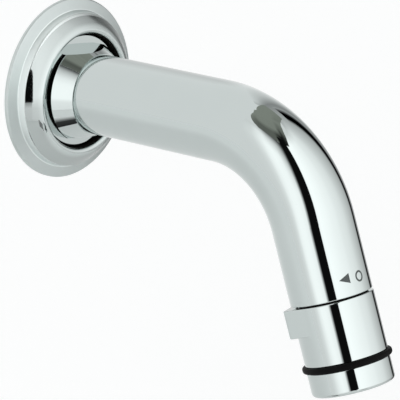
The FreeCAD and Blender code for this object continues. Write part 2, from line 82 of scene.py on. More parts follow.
class NodeBuilder:
    """A node tree under construction, with short calls to add and join its nodes."""

    def __init__(self, tree: bpy.types.NodeTree) -> None:
        """Take over a tree."""
        self.tree = tree

    def add(self, kind: str, inputs: dict, settings: dict) -> bpy.types.Node:
        """Add a node.

        Args:
            kind: The node's type.
            inputs: Values or sockets, by the input's name or number.
            settings: Properties of the node itself, which are set first.

        Returns:
            The new node.
        """
        made = self.tree.nodes.new(kind)
        for key, value in settings.items():
            setattr(made, key, value)
        for key, value in inputs.items():
            if isinstance(value, bpy.types.NodeSocket):
                self.tree.links.new(value, made.inputs[key])
            else:
                made.inputs[key].default_value = value
        return made

    def node(self, kind: str, inputs: dict | None = None, **settings: object) -> bpy.types.Node:
        """Add a node whose type starts with ShaderNode, which the kind leaves out."""
        return self.add("ShaderNode" + kind, inputs or {}, settings)

    def math(self, operation: str, *values: object, clamp: bool = False) -> bpy.types.NodeSocket:
        """Result of a Math node, from numbers or sockets in the order of its inputs."""
        return self.node("Math", dict(enumerate(values)), operation=operation, use_clamp=clamp).outputs[0]

    def ramp(self, value: bpy.types.NodeSocket, given: tuple, wanted: tuple,
             **settings: object) -> bpy.types.NodeSocket:
        """Map a value from one range to another, and hold it at both ends.

        Args:
            value: The value's socket.
            given: The two ends that it comes from.
            wanted: The two ends that it goes to.
            **settings: Properties of the node itself.

        Returns:
            The mapped value's socket.
        """
        inputs = {"Value": value, "From Min": given[0], "From Max": given[1],
                  "To Min": wanted[0], "To Max": wanted[1]}
        return self.node("MapRange", inputs, **settings).outputs["Result"]


class Shader(NodeBuilder):
    """A node material under construction."""

    def __init__(self, name: str) -> None:
        """Start a material with only an output node.

        Args:
            name: The material's name.
        """
        self.material = bpy.data.materials.new(name)
        self.material.use_nodes = True
        super().__init__(self.material.node_tree)
        self.tree.nodes.clear()
        self.output = self.node("OutputMaterial")

    def place(self) -> bpy.types.NodeSocket:
        """Object coordinates, in metres."""
        return self.node("TexCoord").outputs["Object"]

    def split_place(self) -> bpy.types.NodeOutputs:
        """Object coordinates one by one: outputs X, Y and Z, in metres."""
        return self.node("SeparateXYZ", {"Vector": self.place()}).outputs

    def axis_distance(self) -> bpy.types.NodeSocket:
        """Distance from the inlet axis, which is Y, in metres."""
        flat = self.node("VectorMath", {0: self.place(), 1: (1.0, 0.0, 1.0)}, operation="MULTIPLY").outputs[0]
        return self.node("VectorMath", {0: flat}, operation="LENGTH").outputs["Value"]

    def noise(self, scale: float, detail: float = 2.0, stretch: tuple | None = None) -> bpy.types.NodeSocket:
        """Noise over the object.

        Args:
            scale: Features per metre.
            detail: Octaves.
            stretch: Scale along X, Y and Z before the noise, or None.

        Returns:
            The noise's value socket.
        """
        where = self.place()
        if stretch is not None:
            where = self.node("Mapping", {"Vector": where, "Scale": stretch}).outputs["Vector"]
        return self.node("TexNoise", {"Vector": where, "Scale": scale, "Detail": detail}).outputs["Fac"]

    def spread(self, socket: bpy.types.NodeSocket, low: float, high: float) -> bpy.types.NodeSocket:
        """Map a 0 to 1 value to a range."""
        return self.ramp(socket, (0.0, 1.0), (low, high))

    def step(self, value: bpy.types.NodeSocket, low: float, high: float) -> bpy.types.NodeSocket:
        """Smooth step of a value, from nothing below low to one above high."""
        return self.ramp(value, (low, high), (0.0, 1.0), interpolation_type="SMOOTHSTEP")

    def blend(self, factor: bpy.types.NodeSocket, first: tuple, second: tuple) -> bpy.types.NodeSocket:
        """Mix two linear colours by a factor."""
        return self.between(factor, (*first, 1.0), (*second, 1.0))

    def between(self, factor: bpy.types.NodeSocket, first: object, second: object) -> bpy.types.NodeSocket:
        """Mix two colours by a factor, each a socket or four numbers."""
        inputs = {"Factor": factor, **dict(zip(MIX_COLOURS, (first, second)))}
        return self.node("Mix", inputs, data_type="RGBA").outputs[MIX_COLOUR_RESULT]

    def level_between(self, factor: bpy.types.NodeSocket, first: bpy.types.NodeSocket,
                      second: bpy.types.NodeSocket) -> bpy.types.NodeSocket:
        """Mix two value sockets by a factor."""
        inputs = {"Factor": factor, **dict(zip(MIX_LEVELS, (first, second)))}
        return self.node("Mix", inputs, data_type="FLOAT").outputs[MIX_LEVEL_RESULT]

    def bump(self, height: bpy.types.NodeSocket, distance: float, strength: float) -> bpy.types.NodeSocket:
        """Bump of a height, whose distance is in metres."""
        inputs = {"Height": height, "Distance": distance, "Strength": strength}
        return self.node("Bump", inputs).outputs["Normal"]

    def finish(self, surface: bpy.types.Node) -> bpy.types.Material:
        """Join the last shader to the output and return the material."""
        self.tree.links.new(surface.outputs[0], self.output.inputs["Surface"])
        return self.material


class Growth(NodeBuilder):
    """A Geometry Nodes tree under construction, with a named input for each of its values."""

    def __init__(self, name: str, values: dict) -> None:
        """Start a tree.

        Args:
            name: The tree's name.
            values: The value of each named input. The material is called Finish.
        """
        super().__init__(bpy.data.node_groups.new(name, "GeometryNodeTree"))
        for key, value in values.items():
            self.tree.interface.new_socket(key, in_out="INPUT", socket_type=SOCKET_KINDS[type(value)])
        self.tree.interface.new_socket("Geometry", in_out="OUTPUT", socket_type="NodeSocketGeometry")
        self.values = values
        self.given = self.tree.nodes.new("NodeGroupInput").outputs

    def grow(self, kind: str, inputs: dict | None = None, **settings: object) -> bpy.types.NodeOutputs:
        """Add a node whose type starts with GeometryNode, which the kind leaves out."""
        return self.add("GeometryNode" + kind, inputs or {}, settings).outputs

    def finish(self, geometry: bpy.types.NodeSocket) -> None:
        """Make the geometry real, give it its material and join it to the output.

        Args:
            geometry: The socket of the finished shape.
        """
        real = self.grow("RealizeInstances", {"Geometry": geometry})["Geometry"]
        dressed = self.grow("SetMaterial", {"Geometry": real, "Material": self.given["Finish"]})["Geometry"]
        self.tree.links.new(dressed, self.tree.nodes.new("NodeGroupOutput").inputs["Geometry"])

    def mesh(self) -> bpy.types.Mesh:
        """Run the tree once.

        Returns:
            What it grows, as a plain mesh.
        """
        holder = bpy.data.objects.new("growth_holder", bpy.data.meshes.new("growth_holder"))
        bpy.context.scene.collection.objects.link(holder)
        modifier = holder.modifiers.new("growth", "NODES")
        modifier.node_group = self.tree
        for socket in self.tree.interface.items_tree:
            if socket.in_out == "INPUT":
                modifier[socket.identifier] = self.values[socket.name]
        evaluated = holder.evaluated_get(bpy.context.evaluated_depsgraph_get())
        grown = bpy.data.meshes.new_from_object(evaluated)
        holder.modifiers.remove(modifier)
        bpy.data.objects.remove(holder)
        return grown


@dataclass(frozen=True)
class Finish:
    """A finish of one material."""

    def surface(self, shader: Shader) -> dict:
        """Inputs of the Principled shader, by name."""
        raise NotImplementedError

    def material(self, name: str) -> bpy.types.Material:
        """Build the material."""
        shader = Shader(name)
        return shader.finish(shader.node("BsdfPrincipled", self.surface(shader)))


@dataclass(frozen=True)
class Zone:
    """Region of a turned piece round the inlet axis, by radius and depth out of the wall, with its own colour and
    roughness. On the nipple it is bare brass, on the rosette's riser a painted highlight and inside the rosette's
    hole painted shade.

    Its far edge can creep outwards, by a share of the height above creep_height.
    """

    outer: float
    near: float
    far: float
    colour: tuple
    roughness: float
    scatter: float = 0.1
    mottle: float = 0.7
    creep: float = 0.0
    creep_height: float = 8.4 * MM

    @property
    def mottled(self) -> tuple:
        """Colour of its darker mottled places: worn brass on the nipple, darker patches of the painted highlight
        and painted shade on the rosette.
        """
        return tuple(self.mottle * part for part in self.colour)

    def mask(self, shader: Shader) -> bpy.types.NodeSocket:
        """Make a value that is one inside the zone.

        Args:
            shader: The material's builder.

        Returns:
            The value's socket.
        """
        where = shader.split_place()
        inside = shader.math("LESS_THAN", shader.axis_distance(), self.outer)
        above = shader.math("SUBTRACT", where["Z"], self.creep_height, clamp=True)
        edge = shader.math("MULTIPLY_ADD", above, self.creep, where["Y"])
        deep = shader.math("GREATER_THAN", edge, -self.far)
        shallow = shader.math("LESS_THAN", where["Y"], -self.near)
        return shader.math("MULTIPLY", shader.math("MULTIPLY", deep, shallow), inside)


@dataclass(frozen=True)
class PolishedChrome(Finish):
    """Bright chrome plate: almost a mirror, with faint polishing haze, and zones of their own colour laid over it.

    On the rosette it takes a darker second tint past flank_span, which is painted shade, and a softer side along
    soft_span on X. The shading
    there gets a shallow crown: a rise and a lean, in millimetres, over crown_span. The two spans of the flank
    and the crown are distances from the inlet axis.
    """

    tint: tuple = (0.575, 0.627, 0.618)
    deep_tint: tuple = (0.560, 0.612, 0.604)
    roughness: float = 0.02
    haze: float = 0.015
    haze_scale: float = 90.0
    patina_scale: float = 400.0
    patina_detail: float = 4.0
    zones: tuple = ()
    flank_painted_shade: tuple | None = None
    flank_span: tuple = (22.4 * MM, 24.2 * MM)
    soft_side: float = 0.0
    soft_span: tuple = (1.0 * MM, 12.0 * MM)
    crown_rise: float = 0.0
    crown_lean: float = 0.0
    crown_span: tuple = (22.0 * MM, 28.4 * MM)

    def plate(self, shader: Shader) -> tuple:
        """Make the polished plate.

        Args:
            shader: The material's builder.

        Returns:
            The sockets of its colour and its roughness.
        """
        cloud = shader.noise(self.haze_scale)
        colour = shader.blend(cloud, self.tint, self.deep_tint)
        rough = shader.spread(cloud, self.roughness, self.roughness + self.haze)
        if self.flank_painted_shade is not None:
            # The flank's darker tint is painted shade.
            flank = shader.step(shader.axis_distance(), *self.flank_span)
            colour = shader.between(flank, colour, (*self.flank_painted_shade, 1.0))
        if self.soft_side > 0.0:
            side = shader.step(shader.split_place()["X"], *self.soft_span)
            soft = shader.spread(cloud, self.soft_side, self.soft_side + self.haze)
            rough = shader.level_between(side, rough, soft)
        return colour, rough

    def worn_plate(self, shader: Shader) -> tuple:
        """Lay the zones over the plate, in their order.

        Args:
            shader: The material's builder.

        Returns:
            The sockets of the colour and the roughness.
        """
        colour, rough = self.plate(shader)
        patina = shader.noise(self.patina_scale, self.patina_detail)
        for zone in self.zones:
            mask = zone.mask(shader)
            dull = shader.spread(patina, zone.roughness, zone.roughness + zone.scatter)
            colour = shader.between(mask, colour, shader.blend(patina, zone.colour, zone.mottled))
            rough = shader.level_between(mask, rough, dull)
        return colour, rough

    def crown(self, shader: Shader) -> bpy.types.NodeSocket:
        """Make the shallow crown of the flank.

        Args:
            shader: The material's builder.

        Returns:
            The socket of its normal.
        """
        swing = shader.ramp(shader.axis_distance(), self.crown_span, (-math.pi, math.pi))
        wave = shader.math("COSINE", swing)
        lean = shader.math("MULTIPLY", swing, self.crown_lean / (2 * math.pi))
        return shader.bump(shader.math("MULTIPLY_ADD", wave, self.crown_rise, lean), MM, 1.0)

    def surface(self, shader: Shader) -> dict:
        """Choose the inputs of the Principled shader.

        Args:
            shader: The material's builder.

        Returns:
            The inputs, by name.
        """
        colour, rough = self.worn_plate(shader)
        inputs = {"Base Color": colour, "Metallic": 1.0, "Roughness": rough}
        if self.crown_rise > 0.0:
            inputs["Normal"] = self.crown(shader)
        return inputs


@dataclass(frozen=True)
class MachinedMetal(Finish):
    """Bare turned metal with fine tool marks round the axis and a slight patina."""

    bright: tuple
    dull: tuple
    roughness: float = 0.22
    scatter: float = 0.16
    patina_scale: float = 160.0
    patina_detail: float = 5.0
    mark_scale: float = 2600.0
    mark_stretch: tuple = (0.02, 1.0, 0.02)
    mark_depth: float = 0.012 * MM
    mark_strength: float = 0.6

    def surface(self, shader: Shader) -> dict:
        """Choose the inputs of the Principled shader.

        Args:
            shader: The material's builder.

        Returns:
            The inputs, by name.
        """
        patina = shader.noise(self.patina_scale, self.patina_detail)
        marks = shader.noise(self.mark_scale, stretch=self.mark_stretch)
        return {
            "Base Color": shader.blend(patina, self.bright, self.dull),
            "Metallic": 1.0,
            "Roughness": shader.spread(patina, self.roughness, self.roughness + self.scatter),
            "Normal": shader.bump(marks, self.mark_depth, self.mark_strength),
        }


@dataclass(frozen=True)
class SealRubber(Finish):
    """Black elastomer: a soft sheen, a fine mould texture and a little bloom."""

    dark: tuple = (0.0015, 0.0016, 0.0016)
    bloom: tuple = (0.0045, 0.0045, 0.0043)
    bloom_scale: float = 220.0
    bloom_detail: float = 4.0
    roughness: float = 0.48
    scatter: float = 0.12
    gloss: float = 0.06
    grain_scale: float = 3500.0
    grain_depth: float = 0.02 * MM
    grain_strength: float = 0.5

    def surface(self, shader: Shader) -> dict:
        """Choose the inputs of the Principled shader.

        Args:
            shader: The material's builder.

        Returns:
            The inputs, by name.
        """
        cloud = shader.noise(self.bloom_scale, self.bloom_detail)
        grain = shader.noise(self.grain_scale)
        return {
            "Base Color": shader.blend(cloud, self.dark, self.bloom),
            "Roughness": shader.spread(cloud, self.roughness, self.roughness + self.scatter),
            "Normal": shader.bump(grain, self.grain_depth, self.grain_strength),
            "Specular IOR Level": self.gloss,
        }


@dataclass(frozen=True)
class MouldedPlastic(Finish):
    """Moulded or sintered piece: near-even colour, fine skin texture, soft gloss."""

    colour: tuple
    shade: tuple
    roughness: float
    scatter: float = 0.08
    shade_scale: float = 180.0
    shade_detail: float = 3.0
    skin_scale: float = 5200.0
    skin_depth: float = 0.015 * MM
    skin_strength: float = 0.4
    coat: float = 0.0
    coat_roughness: float = 0.05

    def surface(self, shader: Shader) -> dict:
        """Choose the inputs of the Principled shader.

        Args:
            shader: The material's builder.

        Returns:
            The inputs, by name.
        """
        cloud = shader.noise(self.shade_scale, self.shade_detail)
        skin = shader.noise(self.skin_scale)
        return {
            "Base Color": shader.blend(cloud, self.colour, self.shade),
            "Roughness": shader.spread(cloud, self.roughness, self.roughness + self.scatter),
            "Normal": shader.bump(skin, self.skin_depth, self.skin_strength),
            "Coat Weight": self.coat,
            "Coat Roughness": self.coat_roughness,
        }


@dataclass(frozen=True)
class PrintedMark(Finish):
    """Dark grey printed mark: matt, slightly uneven."""

    colour: tuple = (0.040, 0.050, 0.048)
    mottled: tuple = (0.085, 0.100, 0.097)
    wear_scale: float = 2600.0
    wear_detail: float = 3.0
    wear_range: tuple = (-0.4, 1.1)
    roughness: tuple = (0.45, 0.6)

    def surface(self, shader: Shader) -> dict:
        """Choose the inputs of the Principled shader.

        Args:
            shader: The material's builder.

        Returns:
            The inputs, by name.
        """
        mottle = shader.noise(self.wear_scale, self.wear_detail)
        return {
            "Base Color": shader.blend(shader.spread(mottle, *self.wear_range), self.colour, self.mottled),
            "Roughness": shader.spread(mottle, *self.roughness),
        }


BARE_BRASS = (0.52, 0.33, 0.11)
# Near-black painted shade for surfaces in the dark gap.
PAINTED_SHADE_DARK = (0.022, 0.020, 0.017)
ROSETTE_FLANGE = Zone(outer=32.5 * MM, near=-0.1 * MM, far=2.5 * MM, colour=(0.560, 0.611, 0.603),
                      roughness=0.3, mottle=0.97)
# The riser's colour, lighter than the chrome, is a painted highlight: the bright step line round the rosette.
RISER_PAINTED_HIGHLIGHT = Zone(outer=28.2 * MM, near=2.3 * MM, far=4.75 * MM, colour=(0.760, 0.820, 0.810),
                     roughness=0.32, mottle=0.97, creep=0.05)
# Inside the rosette's hole the near-black colour is painted shade, the dark gap round the nipple.
INSIDE_PAINTED_SHADE = Zone(outer=20.75 * MM, near=-1.0 * MM, far=8.35 * MM, colour=PAINTED_SHADE_DARK, roughness=0.6)
NIPPLE_BACK = Zone(outer=19.8 * MM, near=-14.0 * MM, far=2.25 * MM, colour=BARE_BRASS, roughness=0.24)
NIPPLE_SOCKET = Zone(outer=11.75 * MM, near=-14.0 * MM, far=16.0 * MM, colour=BARE_BRASS, roughness=0.24)

# Dark brown on the valve socket is painted shade, the dark seen through the seam.
SOCKET_PAINTED_SHADE = MachinedMetal(bright=(0.060, 0.045, 0.025), dull=(0.035, 0.028, 0.018), roughness=0.45)
# On the rosette the darker flank tint and the inside's zone are painted shade, the riser's zone a painted
# highlight.
ROSETTE_CHROME = PolishedChrome(tint=(0.576, 0.628, 0.620), deep_tint=(0.560, 0.612, 0.604), roughness=0.04,
                                zones=(ROSETTE_FLANGE, RISER_PAINTED_HIGHLIGHT, INSIDE_PAINTED_SHADE),
                                flank_painted_shade=(0.450, 0.490, 0.483), soft_side=0.3, crown_rise=0.07,
                                crown_lean=0.32)

FINISHES = {
    Slot.CHROME: PolishedChrome(),
    Slot.CHROMED_BRASS: PolishedChrome(roughness=0.03, zones=(NIPPLE_BACK, NIPPLE_SOCKET)),
    Slot.BRASS: MachinedMetal(bright=(0.58, 0.37, 0.12), dull=(0.42, 0.25, 0.08)),
    Slot.DARK_BRASS: MachinedMetal(bright=(0.020, 0.019, 0.018), dull=(0.012, 0.011, 0.010), roughness=0.5),
    Slot.STEEL: MachinedMetal(bright=(0.55, 0.56, 0.57), dull=(0.40, 0.41, 0.42), roughness=0.26),
    Slot.RUBBER: SealRubber(roughness=0.5),
    Slot.GRIP_RUBBER: SealRubber(),
    Slot.CERAMIC: MouldedPlastic(colour=(0.84, 0.82, 0.77), shade=(0.78, 0.76, 0.71), roughness=0.12,
                                 coat=0.4),
    Slot.BEARING_PLASTIC: MouldedPlastic(colour=(0.68, 0.67, 0.60), shade=(0.60, 0.59, 0.53),
                                         roughness=0.45),
    Slot.INSERT_PLASTIC: MouldedPlastic(colour=(0.27, 0.29, 0.30), shade=(0.22, 0.24, 0.25),
                                        roughness=0.38),
}

# Pieces whose finish differs from the rest of their slot. The valve socket's dark brass is painted shade; the
# rosette carries a painted highlight and painted shade.
OWN_FINISHES = {"wall_rosette": ROSETTE_CHROME, "valve_socket": SOCKET_PAINTED_SHADE}


@dataclass
class SpoutAxis:
    """The spout's own frame at the tube's end, read from the collar's joint."""

    mouth: Vector = field(default_factory=lambda: Vector(frame["joints"][0]["pos_m"]))
    down: Vector = field(default_factory=lambda: Vector(frame["joints"][0]["axis"]).normalized())

    @property
    def left(self) -> Vector:
        """The viewer's left, seen from the front."""
        return Vector((-1.0, 0.0, 0.0))

    @property
    def front(self) -> Vector:
        """The way the spout's front faces."""
        return self.left.cross(self.down).normalized()

    def on_tube(self, radius: float, angle: float, above: float) -> Vector:
        """Point round the spout.

        Args:
            radius: Distance from the axis, in metres.
            angle: Radians from the front towards the left.
            above: Height above the tube's end along the axis, in metres.

        Returns:
            The point in the row frame.
        """
        out = self.front * math.cos(angle) + self.left * math.sin(angle)
        return self.mouth - self.down * above + out * radius


def mesh_object(name: str, mesh: bpy.types.Mesh, material: bpy.types.Material, body: str) -> bpy.types.Object:
    """Put a finished mesh into the scene and on its body.

    Args:
        name: The piece's name.
        mesh: Its mesh, in the row frame.
        material: Its finish.
        body: The CAD body that carries it.

    Returns:
        The new object.
    """
    piece = bpy.data.objects.new(name, mesh)
    bpy.context.scene.collection.objects.link(piece)
    mesh.materials.clear()
    mesh.materials.append(material)
    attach(piece, body)
    LOG.info("piece %s: %d faces on %s", name, len(mesh.polygons), body)
    return piece


@dataclass
class TubeMarks:
    """Ring and arrow head on the tube, above the collar, that show which way the collar opens.

    Both stand at a height above the tube's end and at degrees from the front towards the left.
    """

    spout: SpoutAxis
    tube_radius: float = 14.0 * MM
    ring_above: float = 5.6 * MM
    ring_angle: float = 1.5
    ring_outer: float = 1.9 * MM
    ring_inner: float = 1.25 * MM
    ring_width: float = 0.92
    arrow_above: float = 6.0 * MM
    arrow_angle: float = 26.8
    arrow_length: float = 3.9 * MM
    arrow_height: float = 3.4 * MM
    arrow_columns: int = 12
    arrow_rows: int = 6
    proud: float = 0.02 * MM
    sunk: float = 0.03 * MM
    steps: int = 64

    def wrapped(self, name: str, mesh: bmesh.types.BMesh, angle: float, above: float) -> bpy.types.Mesh:
        """Give a flat mark its thickness and lay it round the tube.

        Args:
            name: The mesh's name.
            mesh: Flat mark, X to the viewer's right and Y up along the spout.
            angle: Degrees from the front to the mark's middle, towards the left.
            above: Height of its middle above the tube's end.

        Returns:
            The closed mesh.
        """
        grown = bmesh.ops.extrude_face_region(mesh, geom=list(mesh.faces))["geom"]
        raised = {item for item in grown if isinstance(item, bmesh.types.BMVert)}
        for vertex in mesh.verts:
            radius = self.tube_radius + (self.proud if vertex in raised else -self.sunk)
            turn = math.radians(angle) - vertex.co.x / self.tube_radius
            vertex.co = self.spout.on_tube(radius, turn, above + vertex.co.y)
        bmesh.ops.recalc_face_normals(mesh, faces=mesh.faces)
        made = bpy.data.meshes.new(name)
        mesh.to_mesh(made)
        mesh.free()
        return made

    def ring(self) -> bpy.types.Mesh:
        """Draw the ring, a little narrower than tall.

        Returns:
            Its closed mesh on the tube.
        """
        mesh = bmesh.new()
        rows = []
        for step in range(self.steps):
            turn = 2 * math.pi * step / self.steps
            across, up = math.cos(turn) * self.ring_width, math.sin(turn)
            rows.append([mesh.verts.new((across * radius, up * radius, 0.0))
                         for radius in (self.ring_inner, self.ring_outer)])
        for step in range(self.steps):
            here, after = rows[step], rows[(step + 1) % self.steps]
            mesh.faces.new((here[0], here[1], after[1], after[0]))
        return self.wrapped("mark_ring", mesh, self.ring_angle, self.ring_above)

    def arrow(self) -> bpy.types.Mesh:
        """Draw the arrow head, which points to the left.

        Returns:
            Its closed mesh on the tube.
        """
        mesh = bmesh.new()
        grid = []
        for column in range(1, self.arrow_columns + 1):
            share = column / self.arrow_columns
            across, tall = (share - 0.5) * self.arrow_length, share * self.arrow_height
            grid.append([mesh.verts.new((across, (row / self.arrow_rows - 0.5) * tall, 0.0))
                         for row in range(self.arrow_rows + 1)])
        tip = mesh.verts.new((-0.5 * self.arrow_length, 0.0, 0.0))
        for row in range(self.arrow_rows):
            mesh.faces.new((tip, grid[0][row], grid[0][row + 1]))
            for here, after in zip(grid, grid[1:]):
                mesh.faces.new((here[row], after[row], after[row + 1], here[row + 1]))
        return self.wrapped("mark_arrow", mesh, self.arrow_angle, self.arrow_above)

    def build(self) -> None:
        """Make both marks."""
        ink = PrintedMark().material("mark_grey")
        mesh_object("mark_ring", self.ring(), ink, TAP_BODY)
        mesh_object("mark_arrow", self.arrow(), ink, TAP_BODY)


@dataclass(frozen=True)
class ScrewRidge:
    """Right-handed screw ridge round +Z, grown by a Geometry Nodes tree along a helix.

    Its section is a trapezium, sunk a little into the core. Over its first and last runout turns the section
    grows from, and falls to, the share thinnest of its size.
    """

    pitch: float = 1.814 * MM
    turns: float = 6.9
    core_radius: float = 9.3155 * MM
    crest_radius: float = 10.46 * MM
    root_width: float = 1.62 * MM
    crest_width: float = 0.32 * MM
    sunk: float = 0.06 * MM
    steps: int = 64
    runout: float = 0.5
    thinnest: float = 0.06

    def values(self, finish: bpy.types.Material) -> dict:
        """Gather what the tree is given.

        Args:
            finish: The material that the ridge gets.

        Returns:
            The value of each named input.
        """
        return {"Pitch": self.pitch, "Turns": self.turns, "Radius": self.core_radius - self.sunk,
                "Height": self.crest_radius - self.core_radius + self.sunk, "Root Width": self.root_width,
                "Crest Width": self.crest_width, "Run-out": self.runout, "Thinnest": self.thinnest,
                "Steps": self.steps, "Finish": finish}

    def helix(self, growth: Growth) -> bpy.types.NodeSocket:
        """Wind the curve that the ridge follows.

        Args:
            growth: The tree's builder.

        Returns:
            The curve's socket.
        """
        given = growth.given
        rise = growth.math("MULTIPLY", given["Turns"], given["Pitch"])
        wound = growth.grow("CurveSpiral", {
            "Resolution": given["Steps"], "Rotations": given["Turns"], "Start Radius": given["Radius"],
            "End Radius": given["Radius"], "Height": rise, "Reverse": True})["Curve"]
        return growth.grow("SetCurveNormal", {"Curve": wound}, mode="Z_UP")["Curve"]

    def section(self, growth: Growth) -> bpy.types.NodeSocket:
        """Draw the ridge's trapezium, with its root on the curve and its crest outwards.

        Args:
            growth: The tree's builder.

        Returns:
            The section's socket.
        """
        given = growth.given
        flat = growth.grow("CurvePrimitiveQuadrilateral", {
            "Height": given["Height"], "Bottom Width": given["Root Width"], "Top Width": given["Crest Width"],
            "Offset": 0.0}, mode="TRAPEZOID")["Curve"]
        lift = growth.node("CombineXYZ", {"X": growth.math("MULTIPLY", given["Height"], 0.5)})
        return growth.grow("Transform", {"Geometry": flat, "Translation": lift.outputs["Vector"],
                                         "Rotation": (0.0, 0.0, -math.pi / 2)})["Geometry"]

    def fade(self, growth: Growth) -> bpy.types.NodeSocket:
        """Thin the ridge out over its first and last part of a turn.

        Args:
            growth: The tree's builder.

        Returns:
            The socket of the section's scale along the curve.
        """
        along = growth.grow("SplineParameter")["Factor"]
        thinnest = growth.given["Thinnest"]
        share = growth.math("DIVIDE", growth.given["Run-out"], growth.given["Turns"])
        rising = growth.ramp(along, (0.0, share), (thinnest, 1.0))
        falling = growth.ramp(along, (growth.math("SUBTRACT", 1.0, share), 1.0), (1.0, thinnest))
        return growth.math("MULTIPLY", rising, falling)

    def mesh(self, finish: bpy.types.Material) -> bpy.types.Mesh:
        """Build the tree and run it.

        Args:
            finish: The material that the ridge gets.

        Returns:
            The ridge as a plain mesh that starts at the origin's height.
        """
        growth = Growth("screw_ridge", self.values(finish))
        swept = growth.grow("CurveToMesh", {"Curve": self.helix(growth), "Profile Curve": self.section(growth),
                                            "Scale": self.fade(growth), "Fill Caps": True})["Mesh"]
        growth.finish(swept)
        return growth.mesh()


@dataclass
class ThreadedNipple:
    """The inlet nipple with its supply thread cut, in place of the CAD's plain cylinder."""

    ridge: ScrewRidge = field(default_factory=ScrewRidge)
    node: str = "inlet_nipple"
    kept: str = "kept_normal"
    wall_plane: float = -0.01 * MM
    relief_radius: float = 9.2 * MM
    lead_depth: float = 12.5 * MM
    lead_radius: float = 8.8 * MM
    start: float = 12.9 * MM
    weld: float = 0.001 * MM
    sharp_angle: float = 32.0

    def source(self) -> bpy.types.Mesh:
        """Copy the CAD nipple, with its corner normals kept in an attribute.

        Returns:
            The copy.
        """
        mesh = frame["nodes"][self.node].data.copy()
        normals = [0.0] * (3 * len(mesh.loops))
        mesh.corner_normals.foreach_get("vector", normals)
        mesh.attributes.new(self.kept, "FLOAT_VECTOR", "CORNER").data.foreach_set("vector", normals)
        return mesh

    def core(self) -> bmesh.types.BMesh:
        """Draw the copy's thread in to the core of the ridge and free the normals there.

        Returns:
            The core, welded.
        """
        mesh = bmesh.new()
        mesh.from_mesh(self.source())
        bmesh.ops.remove_doubles(mesh, verts=mesh.verts, dist=self.weld)
        kept = mesh.loops.layers.float_vector[self.kept]
        for vertex in mesh.verts:
            # Behind the wall plane only the thread stands out further than the relief.
            out = math.hypot(vertex.co.x, vertex.co.z)
            if vertex.co.y > self.wall_plane and out > self.relief_radius:
                wanted = self.lead_radius if vertex.co.y > self.lead_depth else self.ridge.core_radius
                vertex.co.x *= wanted / out
                vertex.co.z *= wanted / out
                for loop in (loop for face in vertex.link_faces for loop in face.loops):
                    loop[kept] = (0.0, 0.0, 0.0)
        return mesh

    def build(self) -> None:
        """Join the ridge to the core and let the piece stand for the node."""
        finish = frame["nodes"][self.node].data.materials[0]
        ridge = self.ridge.mesh(finish)
        laid = Matrix.Rotation(math.radians(90.0), 4, "X")
        ridge.transform(Matrix.Translation((0.0, self.start, 0.0)) @ laid)
        whole = self.core()
        whole.from_mesh(ridge)
        mesh = bpy.data.meshes.new("threaded_nipple")
        whole.to_mesh(mesh)
        whole.free()
        mesh.polygons.foreach_set("use_smooth", [True] * len(mesh.polygons))
        mesh.set_sharp_from_angle(angle=math.radians(self.sharp_angle))
        mesh.normals_split_custom_set([tuple(corner.vector) for corner in mesh.attributes[self.kept].data])
        mesh.attributes.remove(mesh.attributes[self.kept])
        piece = mesh_object("threaded_nipple", mesh, finish, TAP_BODY)
        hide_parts(self.node)


def dimmed(levels: tuple, share: float) -> tuple:
    """Scale a row of light levels."""
    return tuple(share * level for level in levels)


# The screens stand round the object, out of the camera's sight. The first numbers of a screen are turns, in
# degrees from the front to the left. Each of its rows is a height in metres and the strength of the light at
# every turn. A last number says how much nearer than the others the screen stands, in metres.
BOX_LEFT = (48.0, 54.3, 56.8, 60.3, 65.6, 71.0, 80.0, 86.0, 92.0, 98.0, 106.0)
BOX_LEFT_ROWS = (
    (-0.95, (1.0, 1.0, 1.0, 1.1, 1.15, 1.15, 1.15, 1.12, 1.05, 1.0, 1.0)),
    (-0.40, (1.0, 1.0, 1.1, 1.2, 1.25, 1.25, 1.25, 1.2, 1.1, 1.0, 1.0)),
    (-0.20, (0.04, 0.05, 0.6, 1.4, 1.48, 1.52, 1.52, 1.42, 1.15, 1.03, 1.0)),
    (0.45, (0.04, 0.05, 0.6, 1.4, 1.48, 1.52, 1.52, 1.42, 1.15, 1.03, 1.0)),
    (1.15, (0.04, 0.05, 0.4, 0.85, 1.15, 1.45, 1.55, 1.5, 1.3, 1.1, 1.0)),
    (1.79, (0.03, 0.04, 0.2, 0.5, 0.8, 0.95, 1.1, 1.3, 1.25, 1.05, 1.0)),
    (2.40, (0.02, 0.02, 0.03, 0.05, 0.12, 0.2, 0.35, 0.65, 0.9, 0.95, 0.95)),
)
BOX_RIGHT = (42.0, 35.2, 34.5, 27.0, 12.0, 0.0, -14.0, -23.0, -33.0, -43.0, -54.0, -68.0, -78.0, -103.0,
             -112.0, -120.0)
BOX_RIGHT_LEVELS = (0.05, 0.1, 1.55, 1.62, 1.55, 1.47, 1.4, 1.3, 1.24, 1.15, 0.96, 0.77, 0.62, 0.36, 0.8, 1.0)
BOX_RIGHT_FOOT = (1.4, 1.45) + BOX_RIGHT_LEVELS[2:]
BOX_RIGHT_ROWS = (
    (-0.95, dimmed(BOX_RIGHT_FOOT, 0.68)),
    (-0.50, dimmed(BOX_RIGHT_FOOT, 0.75)),
    (-0.20, BOX_RIGHT_LEVELS),
    (2.90, BOX_RIGHT_LEVELS),
    (4.20, dimmed(BOX_RIGHT_LEVELS, 0.72)),
)
GAP_LEVELS = (0.006, 0.006)
STRIP = (-79.0, -82.5, -85.0, -93.0, -96.0, -99.0)
STRIP_LEVELS = (0.62, 0.25, 0.0, 0.0, 0.2, 0.55)
PATCH_LEVELS = (0.8, 0.3, 0.3, 0.8)
EVEN_LEVELS = (1.0, 1.0, 1.0, 1.0)
